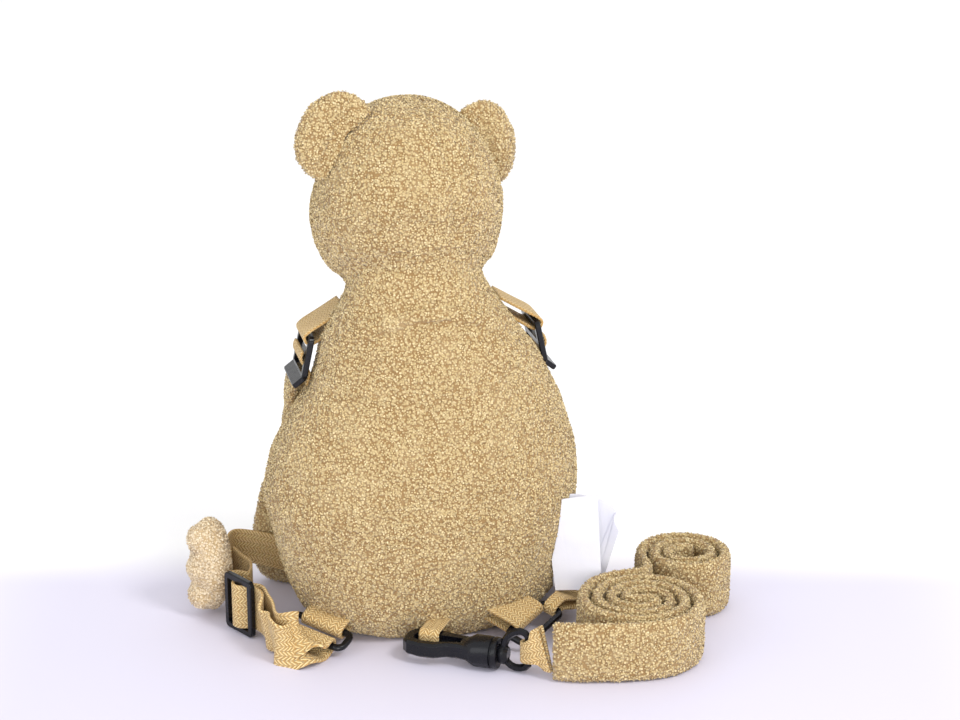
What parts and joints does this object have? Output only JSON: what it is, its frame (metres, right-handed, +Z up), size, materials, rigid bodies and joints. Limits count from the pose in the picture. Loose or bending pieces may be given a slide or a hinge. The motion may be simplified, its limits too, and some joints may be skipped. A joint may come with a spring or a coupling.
{
  "type": "toddler harness backpack",
  "caption": "Stuffed bear backpack with a zipped back pocket, padded arms as shoulder straps, webbing belts with sliders and rings, and a clip-on padded lead.",
  "frame": {"origin": "under the middle of the seat, on the floor", "axes": "+Z up, +Y towards the face and belly, -Y towards the pocket in the back"},
  "size_m": [0.2959, 0.1912, 0.2919],
  "materials": {
    "plush": "matte",
    "pale_plush": "matte",
    "webbing": "matte",
    "black_plastic": "gloss",
    "zip_tape": "matte",
    "label": "satin"
  },
  "bodies": {
    "root": {"body": "plush", "pocket_zip": "zip_tape", "pocket_welt": "plush", "head": "plush", "muzzle": "pale_plush", "nose": "black_plastic", "eye_left": "black_plastic", "eye_right": "black_plastic", "ear_left": "plush", "ear_right": "plush", "ladder_lock_left": "black_plastic", "shoulder_tab_left": "webbing", "shoulder_webbing_left": "webbing", "ladder_lock_right": "black_plastic", "shoulder_tab_right": "webbing", "shoulder_webbing_right": "webbing", "chest_clasp": "black_plastic", "slider_left": "black_plastic", "ring_left": "black_plastic", "bottom_tab_left": "webbing", "chest_belt_left": "webbing", "side_webbing_left": "webbing", "paw_left": "plush", "slider_right": "black_plastic", "ring_right": "black_plastic", "bottom_tab_right": "webbing", "chest_belt_right": "webbing", "side_webbing_right": "webbing", "paw_right": "plush", "snap_hook": "black_plastic", "swivel_loop": "black_plastic", "anchor_loop": "webbing", "leash": "plush", "leash_webbing": "webbing", "care_label_front": "label", "care_label_back": "label", "arm_left": "plush", "arm_right": "plush"}
  },
  "joints": []
}
